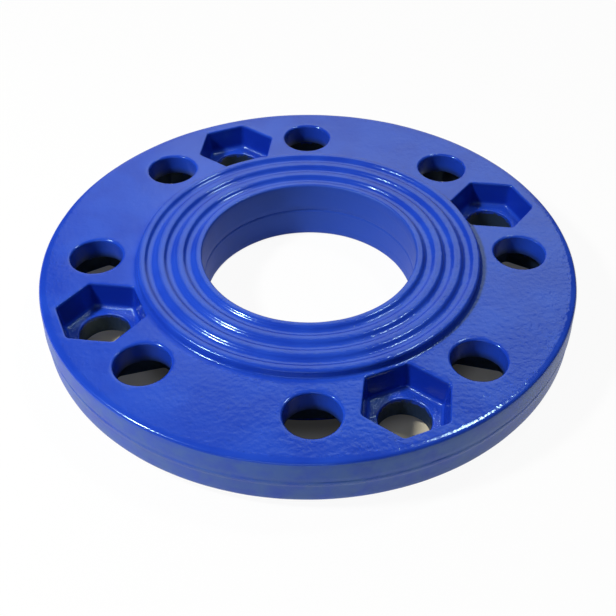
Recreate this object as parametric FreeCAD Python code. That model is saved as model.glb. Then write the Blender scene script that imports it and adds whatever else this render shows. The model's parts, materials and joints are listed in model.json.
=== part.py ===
import FreeCAD, Part
import math
import os

from FreeCAD import Vector

# Flange adapter, DN80. It joins a pipe flange that has eight bolts to one that has four.
# It is one iron casting. Sizes are in millimetres, angles in degrees, and +Z is up.
# The origin is the centre of the lower raised face, on the axis of the bore.
# A bolt is held by its hexagon head, in a pocket on the side away from the flange it joins.
# The lower flange's heads sit in the top of the plate, the upper flange's in the underside.

# Plate
outside_diameter = 200.0
plate_thickness = 19.0
rim_draft = 2.5
rim_chamfer = 1.3

# Bore
bore_diameter = 80.0
bore_chamfer = 0.8

# Raised sealing face, the same on both sides, with its rings of grooves
raised_diameter = 128.4
raised_height = 3.0
raised_draft = 8.0
raised_foot = 1.2
groove_count = 3
groove_width = 4.2
groove_depth = 1.2
groove_wall_angle = 25.0

# Bolts, all on one circle
bolt_circle_diameter = 160.0
upper_bolt_count = 8
upper_hole_diameter = 19.0
lower_bolt_count = 4
lower_hole_diameter = 18.0
hole_chamfer = 0.6

# Pockets, each as deep as a bolt head and with room round its hexagon
head_across_flats = 24.0
head_height = 10.0
head_clearance = 0.5
pocket_draft = 9.5
pocket_floor_chamfer = 0.5
pocket_mouth_chamfer = 0.4

# How far a cutting shape runs on past the face that it opens
overshoot = 1.0

# Worked out from the sizes above
bore_radius = bore_diameter / 2
raised_radius = raised_diameter / 2
rim_radius = outside_diameter / 2
plate_bottom = raised_height
plate_top = plate_bottom + plate_thickness
mid_height = (plate_bottom + plate_top) / 2
pocket_floor = plate_top - head_height
half_pitch = 180.0 / upper_bolt_count
groove_room = raised_radius - bore_radius - groove_count * groove_width
land_width = groove_room / (groove_count + 1)
hexagon_sides = 6
axis_up = Vector(0, 0, 1)


def sideways(angle, length):
    # How far a wall that leans by the angle moves over the length
    return length * math.tan(math.radians(angle))


def flat_face(corners):
    return Part.Face(Part.makePolygon(corners + corners[:1]))


def revolved(outline):
    # Solid round the Z axis. Each point is its radius and its height.
    corners = [Vector(radius, 0, height) for radius, height in outline]
    return flat_face(corners).revolve(Vector(0, 0, 0), axis_up, 360)


def upper_outline():
    # From the bore over the top to the rim. Heights here are above the middle of the plate.
    face = plate_thickness / 2
    top = face + raised_height
    wall = sideways(groove_wall_angle, groove_depth)
    outline = [(bore_radius, top - bore_chamfer),
               (bore_radius + bore_chamfer, top)]
    for i in range(groove_count):
        inner = bore_radius + land_width + i * (land_width + groove_width)
        outer = inner + groove_width
        outline += [(inner, top),
                    (inner + wall, top - groove_depth),
                    (outer - wall, top - groove_depth),
                    (outer, top)]
    foot_radius = raised_radius + sideways(raised_draft, raised_height - raised_foot)
    outline += [(raised_radius, top),
                (foot_radius, face + raised_foot),
                (foot_radius + raised_foot, face),
                (rim_radius - rim_chamfer, face),
                (rim_radius, face - rim_chamfer)]
    return outline


def flange_blank():
    # The lower half mirrors the upper, and the rim is widest where the mould parts
    upper = upper_outline()
    parting = (rim_radius + sideways(rim_draft, plate_thickness / 2), 0)
    lower = [(radius, -height) for radius, height in reversed(upper)]
    outline = upper + [parting] + lower
    return revolved([(radius, height + mid_height) for radius, height in outline])


def hexagon(across_flats, height):
    # Corners, with one flat square to the line from the bore
    reach = across_flats / 2 / math.cos(math.pi / hexagon_sides)
    turns = [(2 * k + 1) * math.pi / hexagon_sides for k in range(hexagon_sides)]
    return [Vector(reach * math.cos(turn), reach * math.sin(turn), height) for turn in turns]


def hexagon_solid(sections):
    # Flat-sided solid through hexagons from low to high. Each is its across flats and height.
    rings = [hexagon(across_flats, height) for across_flats, height in sections]
    faces = [flat_face(rings[0]), flat_face(rings[-1])]
    for low, high in zip(rings, rings[1:]):
        faces += [flat_face([low[k - 1], low[k], high[k], high[k - 1]])
                  for k in range(hexagon_sides)]
    return Part.Solid(Part.Shell(faces))


def head_pocket():
    # Widens towards its mouth in the top of the plate, with a bevel at the floor and the mouth
    floor_flats = head_across_flats + 2 * head_clearance
    mouth_edge = head_height - pocket_mouth_chamfer
    bevel_flats = floor_flats + 2 * sideways(pocket_draft, pocket_floor_chamfer)
    edge_flats = floor_flats + 2 * sideways(pocket_draft, mouth_edge)
    mouth_flats = edge_flats + 2 * pocket_mouth_chamfer
    return hexagon_solid([(floor_flats - 2 * pocket_floor_chamfer, pocket_floor),
                          (bevel_flats, pocket_floor + pocket_floor_chamfer),
                          (edge_flats, pocket_floor + mouth_edge),
                          (mouth_flats, plate_top),
                          (mouth_flats, plate_top + raised_height + overshoot)])


def bolt_hole(diameter):
    # From under the plate up into the pocket, with a bevel where it leaves the plate
    radius = diameter / 2
    mouth_radius = radius + hole_chamfer
    return revolved([(0, plate_bottom - overshoot),
                     (mouth_radius, plate_bottom - overshoot),
                     (mouth_radius, plate_bottom),
                     (radius, plate_bottom + hole_chamfer),
                     (radius, pocket_floor + overshoot),
                     (0, pocket_floor + overshoot)])


def bolt_space(hole_diameter):
    # Room for one bolt, head up, on the bolt circle at the X axis
    space = head_pocket().fuse(bolt_hole(hole_diameter))
    space.translate(Vector(bolt_circle_diameter / 2, 0, 0))
    return space


def around_bore(shape, count, first_angle):
    copies = []
    for i in range(count):
        turned = shape.copy()
        turned.rotate(Vector(0, 0, 0), axis_up, first_angle + i * 360 / count)
        copies.append(turned)
    return copies


def adapter_flange():
    lower_bolt = bolt_space(lower_hole_diameter)
    upper_bolt = bolt_space(upper_hole_diameter)
    upper_bolt.rotate(Vector(0, 0, mid_height), Vector(1, 0, 0), 180)
    spaces = around_bore(lower_bolt, lower_bolt_count, half_pitch)
    spaces += around_bore(upper_bolt, upper_bolt_count, 0)
    return flange_blank().cut(spaces)


def main():
    os.makedirs("parts", exist_ok=True)
    (casting,) = adapter_flange().Solids
    casting.exportStep("parts/adapter_flange.step")


main()
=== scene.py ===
import json
from math import atan2, cos, degrees, hypot, pi, radians, sin, tan

import bpy
from mathutils import Matrix, Vector, noise


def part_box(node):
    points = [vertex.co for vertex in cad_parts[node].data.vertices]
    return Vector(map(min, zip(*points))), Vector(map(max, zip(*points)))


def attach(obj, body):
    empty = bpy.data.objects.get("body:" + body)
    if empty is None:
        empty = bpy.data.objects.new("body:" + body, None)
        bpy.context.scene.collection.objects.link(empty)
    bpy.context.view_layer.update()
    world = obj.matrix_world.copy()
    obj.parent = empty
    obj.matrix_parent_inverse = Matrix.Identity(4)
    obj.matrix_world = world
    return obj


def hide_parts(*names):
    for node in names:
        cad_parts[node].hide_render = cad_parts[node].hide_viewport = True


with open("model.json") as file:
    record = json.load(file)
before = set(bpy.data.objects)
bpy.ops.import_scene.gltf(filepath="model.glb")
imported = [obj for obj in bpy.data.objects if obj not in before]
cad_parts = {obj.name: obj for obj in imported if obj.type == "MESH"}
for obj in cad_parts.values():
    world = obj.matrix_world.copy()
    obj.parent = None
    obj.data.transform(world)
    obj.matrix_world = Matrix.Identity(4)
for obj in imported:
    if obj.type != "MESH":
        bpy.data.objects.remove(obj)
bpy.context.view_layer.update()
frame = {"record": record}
print("frame loaded")

mm = 0.001
mergeGap = 0.002 * mm
castingNode = "adapter_flange"
castingLow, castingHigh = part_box(castingNode)
middle = (castingLow.z + castingHigh.z) / 2 / mm
mounts = {mount["name"]: mount for mount in frame["record"]["mounts"]}
upperBolts = mounts["upper_flange_bolts"]["dims"]
lowerBolts = mounts["lower_flange_bolts"]["dims"]

# the turned shape of the casting, in millimetres and degrees; an edge is its rounding
flange = {
    "boreRadius": mounts["bore"]["dims"]["r_mm"],
    "boreEdge": 1.0,
    "boreSeam": 0.28,          # depth of the line where the core print met
    "raisedRadius": 64.2,
    "raisedHeight": 3.0,
    "raisedDraft": 8,
    "raisedEdge": 1.1,
    "foot": 0.8,               # rounding where the raised face meets the plate
    "grooves": 3,
    "grooveWidth": 4.2,
    "grooveDepth": 1.15,
    "grooveLean": 42,
    "grooveEdge": 1.35,
    "rimRadius": 100.0,
    "rimSwell": 0.3,           # how much wider the rim is at the seam of the mould
    "rimEdge": 1.4,
    "seamStep": 0.13,          # how far that seam steps in and out
    "seamWidth": 0.9,          # how far it reaches from the middle of the rim
    "longest": 1.9,            # longest stretch between points of the outline
    "arcStep": 20,             # degrees between points of a rounding
    "turns": 300,
}

# the hexagon pockets and the holes in their floors, in millimetres and degrees
pocket = {
    "floorFlats": 25.0,
    "depth": 10.0,
    "draft": 9.5,
    "corner": 1.5,
    "floorEdge": 1.0,
    "mouthEdge": 0.75,
    "holeEdge": 1.1,
    "innerEdge": 0.7,          # where the hole leaves the pocket's floor
    "holeSides": 60,
    "cornerSteps": 4,
    "flatCuts": 4,
    "edgeSteps": 5,
    "row": 2.0,                # height of the rows of faces on the walls
    "past": 1.0,               # how far a cutter runs on past the face it opens
}

# unevenness of the cast skin under its coating, in millimetres
skin = {
    "waveSize": 34,
    "waveDepth": 0.22,
    "rippleSize": 9,
    "rippleDepth": 0.10,
    "seamWander": 0.35,        # how far the rim's seam runs up and down,
    "wanderDepth": 1,          # at points this near the rim
    "wanderSpan": 2,           # and this near the seam
    "wanderRate": 9,
    "smoothAngle": 38,
}

hexagonSides = 6
plateBottom = castingLow.z / mm + flange["raisedHeight"]
plateTop = castingHigh.z / mm - flange["raisedHeight"]
boltPitch = 360 / upperBolts["count"]


def pickOnly(piece):
    bpy.ops.object.select_all(action="DESELECT")
    piece.select_set(True)
    bpy.context.view_layer.objects.active = piece


def editAll():
    bpy.ops.object.mode_set(mode="EDIT")
    bpy.ops.mesh.select_mode(type="VERT")
    bpy.ops.mesh.select_all(action="SELECT")


def closeSkin(piece):
    pickOnly(piece)
    editAll()
    bpy.ops.mesh.remove_doubles(threshold=mergeGap)
    bpy.ops.mesh.normals_make_consistent(inside=False)
    bpy.ops.object.mode_set(mode="OBJECT")


def roundedOutline(corners, arcStep):
    # corners are (radius, height, rounding), and a rounding becomes an arc
    places = [Vector((radius, height)) for radius, height, rounding in corners]
    outline = [places[0]]
    for i in range(1, len(corners) - 1):
        rounding = corners[i][2]
        if not rounding:
            outline.append(places[i])
            continue
        back = (places[i - 1] - places[i]).normalized()
        ahead = (places[i + 1] - places[i]).normalized()
        half = back.angle(ahead) / 2
        centre = places[i] + (back + ahead).normalized() * rounding / sin(half)
        first = (places[i] + back * rounding / tan(half) - centre).normalized()
        last = (places[i] + ahead * rounding / tan(half) - centre).normalized()
        steps = max(2, round((180 - 2 * degrees(half)) / arcStep))
        outline += [centre + first.slerp(last, k / steps) * rounding for k in range(steps + 1)]
    return outline + [places[-1]]


def spaced(outline, longest):
    # more points along the long straight stretches
    dense = [outline[0]]
    for start, end in zip(outline, outline[1:]):
        parts = max(1, round((end - start).length / longest))
        dense += [start.lerp(end, k / parts) for k in range(1, parts + 1)]
    return dense


def upperCorners():
    # from the seam in the bore over the top to the seam of the rim, above the middle
    f = flange
    top = (castingHigh.z - castingLow.z) / mm / 2
    face = top - f["raisedHeight"]
    lean = f["grooveDepth"] * tan(radians(f["grooveLean"]))
    room = f["raisedRadius"] - f["boreRadius"] - f["grooves"] * f["grooveWidth"]
    land = room / (f["grooves"] + 1)
    foot = f["raisedRadius"] + f["raisedHeight"] * tan(radians(f["raisedDraft"]))
    corners = [(f["boreRadius"], 2 * f["boreSeam"], 0),
               (f["boreRadius"], top, f["boreEdge"])]
    for i in range(f["grooves"]):
        inner = f["boreRadius"] + land + i * (land + f["grooveWidth"])
        outer = inner + f["grooveWidth"]
        corners += [(inner, top, f["grooveEdge"]),
                    (inner + lean, top - f["grooveDepth"], f["grooveEdge"]),
                    (outer - lean, top - f["grooveDepth"], f["grooveEdge"]),
                    (outer, top, f["grooveEdge"])]
    corners += [(f["raisedRadius"], top, f["raisedEdge"]),
                (foot, face, f["foot"]),
                (f["rimRadius"], face, f["rimEdge"]),
                (f["rimRadius"] + f["rimSwell"], f["seamWidth"], 0)]
    return corners


def turnFlange():
    # one point walked round the outline, then spun about the axis of the bore
    f = flange
    upper = spaced(roundedOutline(upperCorners(), f["arcStep"]), f["longest"])
    lower = [Vector((point.x, -point.y)) for point in reversed(upper)]
    seamRadius = f["rimRadius"] + f["rimSwell"]
    rimSeam = [Vector((seamRadius - f["seamStep"], f["seamWidth"] / 2)),
               Vector((seamRadius + f["seamStep"] / 2, 0)),
               Vector((seamRadius + f["seamStep"] / 2, -f["seamWidth"] / 2))]
    boreSeam = [Vector((f["boreRadius"] + f["boreSeam"], 0))]
    outline = [Vector((point.x, 0, point.y + middle)) * mm
               for point in upper + rimSeam + lower + boreSeam]
    bpy.ops.object.select_all(action="DESELECT")
    bpy.ops.mesh.primitive_plane_add(size=mm)
    casting = bpy.context.object
    casting.name = "casting"
    editAll()
    bpy.ops.mesh.merge(type="CENTER")
    bpy.ops.transform.translate(value=outline[0])
    for here, there in zip(outline, outline[1:] + outline[:1]):
        bpy.ops.mesh.extrude_region_move(TRANSFORM_OT_translate={"value": there - here})
    bpy.ops.mesh.select_all(action="SELECT")
    bpy.ops.mesh.remove_doubles(threshold=mergeGap)
    bpy.ops.mesh.spin(steps=f["turns"], angle=2 * pi, center=(0, 0, 0), axis=(0, 0, 1))
    bpy.ops.object.mode_set(mode="OBJECT")
    closeSkin(casting)
    print("flange turned,", len(casting.data.vertices), "points")
    return casting


def stackRings(name, sides, corner, sections):
    # a filled ring, extruded up through sections of (reach, height), its corners rounded first
    reach, height = sections[0]
    bpy.ops.object.select_all(action="DESELECT")
    bpy.ops.mesh.primitive_circle_add(vertices=sides, radius=reach * mm, fill_type="NGON")
    cutter = bpy.context.object
    cutter.name = name
    editAll()
    bpy.ops.transform.translate(value=(0, 0, height * mm))
    if corner:
        bpy.ops.mesh.bevel(offset=corner * tan(pi / sides) * mm, offset_type="OFFSET",
                           segments=pocket["cornerSteps"], affect="VERTICES")
        bpy.ops.mesh.select_mode(type="EDGE")
        bpy.ops.object.mode_set(mode="OBJECT")
        points = cutter.data.vertices
        for edge in cutter.data.edges:
            start, end = edge.vertices
            edge.select = (points[start].co - points[end].co).length > 2 * corner * mm
        bpy.ops.object.mode_set(mode="EDIT")
        bpy.ops.mesh.subdivide(number_cuts=pocket["flatCuts"])
        bpy.ops.mesh.select_mode(type="VERT")
        bpy.ops.mesh.select_all(action="SELECT")
    for nextReach, nextHeight in sections[1:]:
        rise = (nextHeight - height) * mm
        grow = nextReach / reach
        bpy.ops.mesh.extrude_region_move(TRANSFORM_OT_translate={"value": (0, 0, rise)})
        bpy.ops.transform.resize(value=(grow, grow, 1), center_override=(0, 0, 0))
        reach, height = nextReach, nextHeight
    bpy.ops.object.mode_set(mode="OBJECT")
    closeSkin(cutter)
    return cutter


def quarter(rounding):
    # (across, along) of the points of a quarter round
    steps = pocket["edgeSteps"]
    turns = [k * pi / 2 / steps for k in range(steps + 1)]
    return [(rounding * (1 - sin(turn)), rounding * (1 - cos(turn))) for turn in turns]


def rows(low, high):
    count = max(1, round((high - low) / pocket["row"]))
    return [low + (high - low) * k / count for k in range(1, count)]


def pocketFlats(depth):
    # half of the width across the flats, the depth below the pocket's mouth
    p = pocket
    return p["floorFlats"] / 2 + (p["depth"] - depth) * tan(radians(p["draft"]))


def pocketCutter():
    # head pocket in the top of the plate, on the Z axis
    p = pocket
    floor = plateTop - p["depth"]
    wallLow = floor + p["floorEdge"]
    wallHigh = plateTop - p["mouthEdge"]
    sections = [(pocketFlats(p["depth"] - along) - across, floor + along)
                for across, along in quarter(p["floorEdge"])]
    sections += [(pocketFlats(plateTop - height), height) for height in rows(wallLow, wallHigh)]
    sections += [(pocketFlats(p["mouthEdge"]) + along, plateTop - across)
                 for across, along in quarter(p["mouthEdge"])]
    widest = sections[-1][0]
    sections.append((widest, plateTop + flange["raisedHeight"] + p["past"]))
    return stackRings("pocketCutter", hexagonSides, p["corner"],
                      [(half / cos(pi / hexagonSides), height) for half, height in sections])


def holeCutter(radius):
    # hole from the underside of the plate up into the pocket, on the Z axis
    p = pocket
    floor = plateTop - p["depth"]
    sections = [(radius + p["holeEdge"], plateBottom - p["past"])]
    sections += [(radius + across, plateBottom + along)
                 for across, along in quarter(p["holeEdge"])]
    sections += [(radius, height)
                 for height in rows(plateBottom + p["holeEdge"], floor - p["innerEdge"])]
    sections += [(radius + across, floor - along)
                 for across, along in reversed(quarter(p["innerEdge"]))]
    sections.append((radius + p["innerEdge"], floor + p["past"]))
    return stackRings("holeCutter", p["holeSides"], 0, sections)


def copyRound(cutter, count, firstTurn, upsideDown):
    # copies on the bolt circle, each with its own mesh
    out = Matrix.Translation((upperBolts["pcd_mm"] / 2 * mm, 0, 0))
    flip = Matrix.Identity(4)
    if upsideDown:
        lift = Matrix.Translation((0, 0, middle * mm))
        flip = lift @ Matrix.Rotation(pi, 4, "X") @ lift.inverted()
    copies = []
    for k in range(count):
        twin = cutter.copy()
        twin.data = cutter.data.copy()
        turn = Matrix.Rotation(radians(firstTurn + k * 360 / count), 4, "Z")
        twin.data.transform(turn @ out @ flip)
        bpy.context.collection.objects.link(twin)
        copies.append(twin)
    return copies


def cutAway(casting, cutters):
    bpy.ops.object.select_all(action="DESELECT")
    for cutter in cutters:
        cutter.select_set(True)
    bpy.context.view_layer.objects.active = cutters[0]
    bpy.ops.object.join()
    tool = bpy.context.object
    pickOnly(casting)
    bpy.ops.object.modifier_add(type="BOOLEAN")
    cut = casting.modifiers[-1]
    cut.operation = "DIFFERENCE"
    cut.solver = "MANIFOLD"
    cut.object = tool
    bpy.ops.object.modifier_apply(modifier=cut.name)
    bpy.data.objects.remove(tool)


def cutBoltSpaces(casting):
    head = pocketCutter()
    lowerHole = holeCutter(lowerBolts["hole_r_mm"])
    upperHole = holeCutter(upperBolts["hole_r_mm"])
    cutAway(casting, copyRound(head, lowerBolts["count"], boltPitch / 2, False)
            + copyRound(head, upperBolts["count"], 0, True))
    cutAway(casting, copyRound(lowerHole, lowerBolts["count"], boltPitch / 2, False)
            + copyRound(upperHole, upperBolts["count"], 0, True))
    for cutter in (head, lowerHole, upperHole):
        bpy.data.objects.remove(cutter)
    closeSkin(casting)
    print("pockets and holes cut,", len(casting.data.polygons), "faces")


def displace(casting, name, size, depth):
    pattern = bpy.data.textures.new(name, "CLOUDS")
    pattern.noise_scale = size * mm
    pattern.noise_depth = 1
    pickOnly(casting)
    bpy.ops.object.modifier_add(type="DISPLACE")
    bend = casting.modifiers[-1]
    bend.texture = pattern
    bend.texture_coords = "LOCAL"
    bend.strength = depth * mm
    bend.mid_level = 1         # only ever inwards, so that the casting stays in its box
    bpy.ops.object.modifier_apply(modifier=bend.name)


def wanderSeam(casting):
    # the seam of the mould runs a little up and down round the rim
    for point in casting.data.vertices:
        place = point.co
        offMiddle = abs(place.z / mm - middle)
        inward = flange["rimRadius"] - hypot(place.x, place.y) / mm
        if inward < skin["wanderDepth"] and offMiddle < skin["wanderSpan"]:
            turn = atan2(place.y, place.x)
            sway = noise.noise(Vector((cos(turn), sin(turn), 0)) * skin["wanderRate"])
            share = 1 - offMiddle / skin["wanderSpan"]
            place.z += sway * skin["seamWander"] * mm * share


def roughenSkin(casting):
    wanderSeam(casting)
    displace(casting, "castWaves", skin["waveSize"], skin["waveDepth"])
    displace(casting, "castRipples", skin["rippleSize"], skin["rippleDepth"])
    pickOnly(casting)
    bpy.ops.object.shade_smooth_by_angle(angle=radians(skin["smoothAngle"]))
    print("skin roughened")


class Wire:  # a shader value that takes part in sums
    def __init__(self, finish, socket):
        self.finish = finish
        self.socket = socket

    def work(self, operation, *values):
        return self.finish.add("ShaderNodeMath", {"operation": operation}, dict(enumerate(values)))

    def __add__(self, other):
        return self.work("ADD", self, other)

    def __radd__(self, other):
        return self.work("ADD", other, self)

    def __sub__(self, other):
        return self.work("SUBTRACT", self, other)

    def __rsub__(self, other):
        return self.work("SUBTRACT", other, self)

    def __mul__(self, other):
        return self.work("MULTIPLY", self, other)

    def __rmul__(self, other):
        return self.work("MULTIPLY", other, self)

    def __pow__(self, other):
        return self.work("POWER", self, other)


class Finish:  # a material under construction
    def __init__(self, name):
        self.material = bpy.data.materials.new(name)
        self.material.use_nodes = True
        self.tree = self.material.node_tree
        self.tree.nodes.clear()

    def add(self, kind, settings=None, values=None, output=0):
        node = self.tree.nodes.new(kind)
        for key, value in (settings or {}).items():
            setattr(node, key, value)
        for key, value in (values or {}).items():
            if isinstance(value, Wire):
                self.tree.links.new(value.socket, node.inputs[key])
            else:
                node.inputs[key].default_value = value
        return Wire(self, node.outputs[output]) if node.outputs else None

    def place(self):
        return self.add("ShaderNodeTexCoord", output="Object")

    def axes(self, place):
        # x, y and z in millimetres
        return [self.add("ShaderNodeSeparateXYZ", values={0: place}, output=k) * (1 / mm)
                for k in range(3)]

    def noise(self, place, size, detail=2.0, roughness=0.5):
        # the size is in millimetres
        return self.add("ShaderNodeTexNoise", values={
            "Vector": place, "Scale": 1 / (size * mm), "Detail": detail, "Roughness": roughness})

    def ease(self, value, low, high):
        # from 0 at the low value to 1 at the high one
        return self.add("ShaderNodeMapRange", {"interpolation_type": "SMOOTHSTEP"},
                        {"Value": value, "From Min": low, "From Max": high})

    def along(self, x, y, angle):
        # distance from the axis in one direction
        return x * cos(radians(angle)) + y * sin(radians(angle))

    def nearCross(self, x, y, angle, radius):
        # 1 within the radius of a cross through the axis, turned by the angle
        sides = [self.add("ShaderNodeMath", {"operation": "ABSOLUTE"}, {0: aside})
                 for aside in (self.along(x, y, angle), self.along(x, y, angle + 90))]
        nearest = self.add("ShaderNodeMath", {"operation": "MINIMUM"}, {0: sides[0], 1: sides[1]})
        return 1 - self.fade(nearest, radius, "aside")

    def fade(self, value, edge, name):
        low, high = fades[name]
        return self.ease(value, edge + low, edge + high)

    def atLeast(self, share, least):
        # the share, squeezed into the least share to 1
        return share * (1 - least) + least

    def mix(self, share, first, second):
        return self.add("ShaderNodeMix", {"data_type": "RGBA"},
                        {"Factor": share, 6: first, 7: second}, output=2)

    def blend(self, share, first, second):
        # like mix, for whole shaders
        return self.add("ShaderNodeMixShader", values={0: share, 1: first, 2: second})

    def matt(self, colour):
        return self.add("ShaderNodeBsdfDiffuse", values={"Color": colour})


# the blue coating: colours are linear, sizes and depths in millimetres
coating = {
    "deepBlue": (0.009, 0.044, 0.43, 1),
    "lightBlue": (0.013, 0.060, 0.49, 1),
    "tintSize": 22,
    "tintRange": (0.35, 0.65),
    "rimBlue": (0.033, 0.092, 0.40, 1),
    "blotchSize": 7,
    "blotchRange": (0.3, 0.68),
    "blotchDetail": 4.0,
    "blotchRoughness": 0.6,
    # painted shade: a little darker blue inside the bore
    "boreBlue": (0.010, 0.050, 0.41, 1),
    # painted shade: a darker blue on the walls of the hexagon pockets
    "pocketBlue": (0.004, 0.024, 0.34, 1),
    "dullBlue": (0.012, 0.024, 0.060, 1),      # painted shade low down in the holes and in the pockets underneath
    "dullEnd": 0.85,           # share of it at the lower end of an upper hole
    "ragged": 4.0,             # how unevenly it ends under the floor of a pocket
    "raggedSize": 1.6,
    "sheenTint": (0.64, 1.0, 1.0, 1),
}

# how rough the coating is, from 0 to 1
polish = {
    "plate": 0.15,
    "spread": 0.06,
    "rim": 0.42,
    "bore": 0.58,
    "holeWall": 0.40,
    "dull": 0.45,
}

# the relief of the coating, in millimetres
relief = {
    "peelSize": 1.8,
    "peelDepth": 0.045,
    "hammerSize": 2.2,
    "hammerDepth": 0.135,
    "pitSize": 1.6,
    "pitDepth": 0.024,
    "pitRange": (0.28, 0.46),
    "coarse": 1.0,             # noise detail of the hammering and its pits
    "hammerTurn": -25,         # degrees round from +X to the middle of the hammered side
    "hammerRange": (-30, 60),
    "hammerLeast": 0.15,       # share of it on the other side
    "hammerOffFace": 0.1,      # and away from the face of the plate
    "grainSize": 0.8,
    "grainDepth": 0.23,
}

# where a coating fades in or out, in millimetres from the edge that the code names
fades = {
    "toFace": (-1.6, -0.8),
    "faceEnd": (-2.5, -1.0),
    "floorBelow": (-1.2, -0.4),
    "floorAbove": (0.4, 2.0),
    "toRim": (-3.0, -2.0),
    "rimEdge": (0.0, 0.5),
    "bore": (0.4, 0.8),
    "boreEnd": (5.4, 6.4),
    "underside": (0.1, 0.7),
    "dullTop": (-2.0, -0.8),
    "holeLow": (-1.0, 0.0),
    "mouth": (-1.5, -0.5),
    "wallFoot": (0.4, 1.6),
    "wallEnd": (0.0, 4.0),
    "aside": (0.5, 1.5),
}


def coatMasks(finish, place):
    # the share of each kind of coating, and of the painted shade
    x, y, z = finish.axes(place)
    reach = (x * x + y * y) ** 0.5
    offMiddle = ((z - middle) * (z - middle)) ** 0.5
    halfPlate = plateTop - middle
    floor = plateTop - pocket["depth"]
    underFloor = plateBottom + pocket["depth"]
    holeRadius = upperBolts["hole_r_mm"]
    pocketRadius = pocketFlats(0) / cos(pi / hexagonSides)

    nearRim = finish.fade(reach, flange["rimRadius"], "toRim")
    offRims = finish.fade(reach, flange["boreRadius"], "boreEnd") * (1 - nearRim)
    underMouth = (1 - finish.fade(z, plateTop, "mouth")) * offRims
    upperWall = (finish.nearCross(x, y, 0, holeRadius)
                 + finish.nearCross(x, y, boltPitch, holeRadius))
    upperWall = upperWall * finish.fade(z, underFloor, "holeLow") * underMouth
    pocketWall = finish.nearCross(x, y, boltPitch / 2, pocketRadius)
    unevenness = (finish.noise(place, coating["raggedSize"]) - 0.5) * coating["ragged"]
    hammered = finish.ease(finish.along(x, y, relief["hammerTurn"]), *relief["hammerRange"])
    return {
        "face": (finish.fade(offMiddle, halfPlate, "toFace")
                 * (1 - finish.fade(reach, flange["rimRadius"], "faceEnd"))),
        "floor": (finish.fade(z, floor, "floorBelow")
                  * (1 - finish.fade(z, floor, "floorAbove"))),
        "rim": nearRim * (1 - finish.fade(offMiddle, halfPlate - flange["rimEdge"], "rimEdge")),
        "bore": 1 - finish.fade(reach, flange["boreRadius"], "bore"),
        # painted shade low in the holes and the pockets underneath, with a ragged upper edge
        "dull": (finish.fade(z, plateBottom, "underside")
                 * (1 - finish.fade(z + unevenness, floor, "dullTop")) * offRims),
        "holeWall": upperWall,
        # painted shade at the lower end of the upper holes
        "holeEnd": upperWall * (1 - finish.fade(z, underFloor, "wallEnd")),
        "pocketWall": pocketWall * finish.fade(z, floor, "wallFoot") * underMouth,
        "hammered": finish.atLeast(hammered, relief["hammerLeast"]),
    }


def coatRelief(finish, place, masks):
    r = relief
    hammered = masks["hammered"] * finish.atLeast(masks["face"], r["hammerOffFace"])
    dents = finish.noise(place, r["hammerSize"], r["coarse"])
    pits = finish.ease(finish.noise(place, r["pitSize"], r["coarse"]), *r["pitRange"])
    height = finish.noise(place, r["peelSize"]) * r["peelDepth"]
    height = height + dents * hammered * r["hammerDepth"] + pits * hammered * r["pitDepth"]
    height = height + finish.noise(place, r["grainSize"]) * masks["floor"] * r["grainDepth"]
    return finish.add("ShaderNodeBump", values={"Strength": 1.0, "Distance": mm, "Height": height})


def coatColour(finish, place, masks):
    c = coating
    tint = finish.ease(finish.noise(place, c["tintSize"]), *c["tintRange"])
    blotch = finish.noise(place, c["blotchSize"], c["blotchDetail"], c["blotchRoughness"])
    blotch = finish.ease(blotch, *c["blotchRange"]) * masks["rim"]
    colour = finish.mix(tint, c["deepBlue"], c["lightBlue"])
    colour = finish.mix(blotch, colour, c["rimBlue"])
    # painted shade in the bore
    colour = finish.mix(masks["bore"], colour, c["boreBlue"])
    # painted shade on the walls of the hexagon pockets
    colour = finish.mix(masks["pocketWall"], colour, c["pocketBlue"])
    # painted shade low in the holes and in the pockets underneath
    return finish.mix(masks["dull"] + masks["holeEnd"] * c["dullEnd"], colour, c["dullBlue"])


def coatRoughness(finish, place, masks):
    roughness = (finish.noise(place, coating["tintSize"]) - 0.5) * polish["spread"]
    roughness = roughness + polish["plate"]
    for part in ("rim", "bore", "holeWall", "dull"):
        roughness = roughness + masks[part] * (polish[part] - polish["plate"])
    return roughness


def coatCasting(casting):
    finish = Finish("blueCoating")
    place = finish.place()
    masks = coatMasks(finish, place)
    surface = finish.add("ShaderNodeBsdfPrincipled", values={
        "Base Color": coatColour(finish, place, masks),
        "Roughness": coatRoughness(finish, place, masks),
        "Normal": coatRelief(finish, place, masks),
        "Specular Tint": coating["sheenTint"]})
    finish.add("ShaderNodeOutputMaterial", values={"Surface": surface})
    casting.data.materials.clear()
    casting.data.materials.append(finish.material)
    print("coating made")


def makeCasting():
    casting = turnFlange()
    cutBoltSpaces(casting)
    roughenSkin(casting)
    coatCasting(casting)
    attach(casting, "root")
    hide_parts(castingNode)
    print("casting done,", len(casting.data.polygons), "faces")


# the light tent: a white bench and wall with a dimmer sky above them, in metres
tent = {
    "radius": 2.2,
    "wallHeight": 3.1,
    "sides": 96,
    "white": (0.80, 0.80, 0.78, 1),
    "glow": 0.94,              # share of plain white light where the cloth is seen
    "skyStrength": 0.13,
}

# the tent's wall, as the flange sees it: bright in one place, dim elsewhere, in millimetres
wallCloth = {
    "colour": (0.20, 0.20, 0.20, 1),
    "glow": 1.04,
    "litTurn": 87,             # degrees round from +X to the middle of the bright part
    "litRange": (1950, 2070),
    "litLeast": 0.05,
    "fadeRange": (100, 1050),  # heights above its middle between which its reflection dims
    "fade": 0.5,
}

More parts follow.
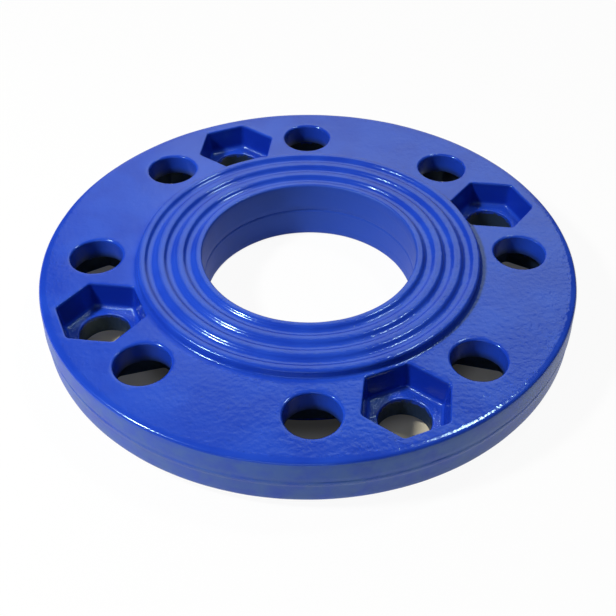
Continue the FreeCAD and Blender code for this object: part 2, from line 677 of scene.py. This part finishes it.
# the bench under the flange, seen through the holes, in millimetres: painted shade there, darkest
# near the raised face, with a faint painted glow to the eye
benchCloth = {
    "shade": (0.64, 0.58, 0.41, 1),
    "deepShade": (0.16, 0.13, 0.08, 1),
    "boreRange": (0, 3),       # from the wall of the bore
    "rimRange": (-8, -3),      # from the rim
    "deepRange": (1, 11),      # from the raised face
    "glow": 0.048,
    "deepDim": 0.6,
}


def clothFinish(finish, plain, glow, mirrored):
    # white to the eye and in reflections, plain cloth to the lamps, so a shadow stays
    reflected = (finish.add("ShaderNodeLightPath", output="Is Glossy Ray")
                 + finish.add("ShaderNodeLightPath", output="Is Transmission Ray"))
    seen = finish.add("ShaderNodeLightPath", output="Is Camera Ray") * glow + reflected * mirrored
    light = finish.add("ShaderNodeEmission", values={"Color": (1, 1, 1, 1), "Strength": 1.0})
    surface = finish.blend(seen * tent["glow"], plain, light)
    finish.add("ShaderNodeOutputMaterial", values={"Surface": surface})
    return finish.material


def benchFinish():
    b = benchCloth
    finish = Finish("benchCloth")
    x, y = finish.axes(finish.place())[:2]
    reach = (x * x + y * y) ** 0.5
    boreLow, boreHigh = [flange["boreRadius"] + far for far in b["boreRange"]]
    rimLow, rimHigh = [castingHigh.x / mm + far for far in b["rimRange"]]
    deepLow, deepHigh = [flange["raisedRadius"] + far for far in b["deepRange"]]
    under = finish.ease(reach, boreLow, boreHigh) * (1 - finish.ease(reach, rimLow, rimHigh))
    deep = 1 - finish.ease(reach, deepLow, deepHigh)
    # painted shade: a darker, warmer bench under the flange, darkest near the raised face
    plain = finish.blend(under, finish.matt(tent["white"]), finish.matt(b["shade"]))
    plain = finish.blend(under * deep, plain, finish.matt(b["deepShade"]))
    # a faint painted glow to the eye under the flange, dimmer near the raised face
    glow = 1 - under * (1 - (1 - deep * b["deepDim"]) * b["glow"])
    return clothFinish(finish, plain, glow, 1 - under)


def wallFinish():
    w = wallCloth
    finish = Finish("wallCloth")
    x, y, z = finish.axes(finish.place())
    lit = finish.ease(finish.along(x, y, w["litTurn"]), *w["litRange"])
    mirrored = finish.atLeast(lit, w["litLeast"])
    mirrored = mirrored * (1 - finish.ease(z, *w["fadeRange"]) * w["fade"])
    return clothFinish(finish, finish.matt(w["colour"]), w["glow"], mirrored)


def makeTent():
    t = tent
    bpy.ops.object.select_all(action="DESELECT")
    bpy.ops.mesh.primitive_circle_add(vertices=t["sides"], radius=t["radius"], fill_type="NGON",
                                      location=(0, 0, castingLow.z))
    bench = bpy.context.object
    bench.name = "bench"
    bench.data.materials.append(benchFinish())
    bpy.ops.object.select_all(action="DESELECT")
    bpy.ops.mesh.primitive_cylinder_add(vertices=t["sides"], radius=t["radius"],
                                        depth=t["wallHeight"], end_fill_type="NOTHING",
                                        location=(0, 0, castingLow.z + t["wallHeight"] / 2))
    wall = bpy.context.object
    wall.name = "tentWall"
    wall.data.materials.append(wallFinish())
    print("tent made")


# lamps and panels, all turned to the middle of the flange, in metres and watts
lamps = {
    "leftLamp": {"place": (-0.464, -0.112, 0.544), "width": 0.09, "height": 0.09, "watts": 5.3},
    "rightLamp": {"place": (0.35, 0.315, 0.885), "width": 0.10, "height": 0.10, "watts": 2.0},
    "frontPanel": {"place": (-0.20, -0.95, 0.40), "width": 0.60, "height": 0.40, "watts": 0.9},
    "rearPanel": {"place": (0.12, 0.79, 0.72), "width": 0.70, "height": 0.40, "watts": 0.6},
}


def makeLight():
    world = bpy.data.worlds.new("tent")
    bpy.context.scene.world = world
    world.use_nodes = True
    sky = world.node_tree.nodes["Background"]
    sky.inputs["Color"].default_value = (1, 1, 1, 1)
    sky.inputs["Strength"].default_value = tent["skyStrength"]
    target = Vector((0, 0, middle * mm))
    for name, lamp in lamps.items():
        bpy.ops.object.light_add(type="AREA", location=lamp["place"])
        light = bpy.context.object
        light.name = name
        light.data.shape = "RECTANGLE"
        light.data.size = lamp["width"]
        light.data.size_y = lamp["height"]
        light.data.energy = lamp["watts"]
        light.rotation_euler = (target - light.location).to_track_quat("-Z", "Y").to_euler()
    print("lamps set")


# where the photograph was taken from: place in millimetres, turns in degrees
camera = {
    "place": (-3.1, -284.4, 256.5),
    "tilt": 47.29,
    "heading": -2.3,
    "roll": 0.95,
    "focalPixels": 973.2,
    "imagePixels": 616,
    "centrePixel": (330.4, 308.4),
    "sensor": 36.0,
    "clipStart": 0.01,         # in metres
}


def makeCamera():
    c = camera
    bpy.ops.object.camera_add()
    view = bpy.context.object
    view.matrix_world = (Matrix.Translation(Vector(c["place"]) * mm)
                         @ Matrix.Rotation(radians(c["heading"]), 4, "Z")
                         @ Matrix.Rotation(radians(c["tilt"]), 4, "X")
                         @ Matrix.Rotation(radians(c["roll"]), 4, "Z"))
    view.data.sensor_width = c["sensor"]
    view.data.lens = c["focalPixels"] / c["imagePixels"] * c["sensor"]
    view.data.shift_x = 0.5 - c["centrePixel"][0] / c["imagePixels"]
    view.data.shift_y = c["centrePixel"][1] / c["imagePixels"] - 0.5
    view.data.clip_start = c["clipStart"]
    bpy.context.scene.camera = view
    bpy.context.scene.view_settings.view_transform = "Standard"
    print("camera set")


makeCamera()
makeCasting()
makeTent()
makeLight()
